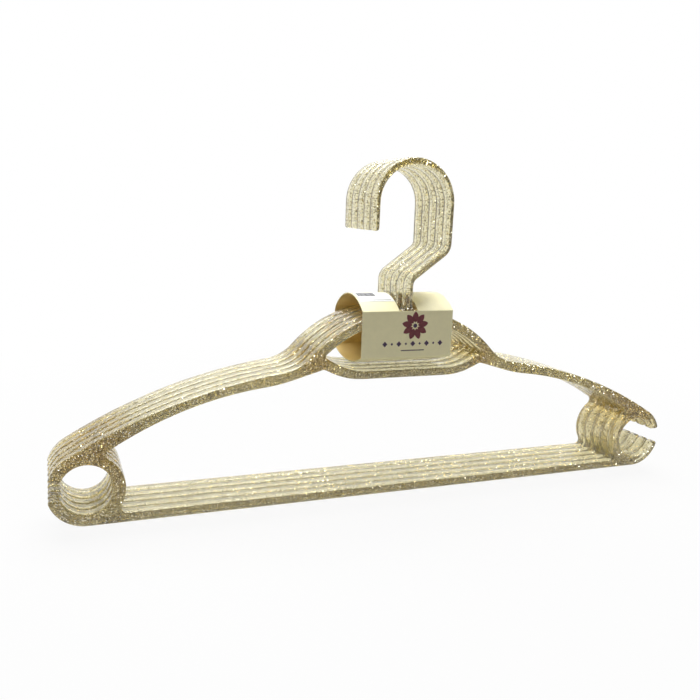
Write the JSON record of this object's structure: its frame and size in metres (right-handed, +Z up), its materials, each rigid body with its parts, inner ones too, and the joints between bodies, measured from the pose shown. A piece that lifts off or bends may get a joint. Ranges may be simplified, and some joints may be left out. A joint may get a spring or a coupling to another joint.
{
  "type": "clothes hanger pack",
  "caption": "Pack of one-piece moulded clothes hangers with open hooks, strap loops and a bottom bar, held together by a folded card sleeve round their shoulders.",
  "frame": {"origin": "axis of the rail that the hooks hang on, at the middle of the pack's depth", "axes": "+X along the hangers, +Y to the back of the pack along the rail, +Z up"},
  "size_m": [0.4016, 0.0484, 0.2009],
  "materials": {
    "glitter_plastic": "clear champagne plastic with fine gold glitter",
    "card": "smooth cream card",
    "label_paper": "matt white label"
  },
  "bodies": {
    "sleeve": {"card_sleeve": "card", "price_label": "label_paper"},
    "hanger_1": {"hanger_1": "glitter_plastic"},
    "hanger_2": {"hanger_2": "glitter_plastic"},
    "hanger_3": {"hanger_3": "glitter_plastic"},
    "hanger_4": {"hanger_4": "glitter_plastic"},
    "hanger_5": {"hanger_5": "glitter_plastic"}
  },
  "joints": [
    {"name": "hanger_1_swing", "type": "hinge", "parent": "sleeve", "child": "hanger_1", "pos_m": [0, 0, 0], "axis": [0, 1, 0], "range_deg": [-2, 2]},
    {"name": "hanger_2_swing", "type": "hinge", "parent": "sleeve", "child": "hanger_2", "pos_m": [0, 0, 0], "axis": [0, 1, 0], "range_deg": [-2, 2]},
    {"name": "hanger_3_swing", "type": "hinge", "parent": "sleeve", "child": "hanger_3", "pos_m": [0, 0, 0], "axis": [0, 1, 0], "range_deg": [-2, 2]},
    {"name": "hanger_4_swing", "type": "hinge", "parent": "sleeve", "child": "hanger_4", "pos_m": [0, 0, 0], "axis": [0, 1, 0], "range_deg": [-2, 2]},
    {"name": "hanger_5_swing", "type": "hinge", "parent": "sleeve", "child": "hanger_5", "pos_m": [0, 0, 0], "axis": [0, 1, 0], "range_deg": [-2, 2]}
  ]
}
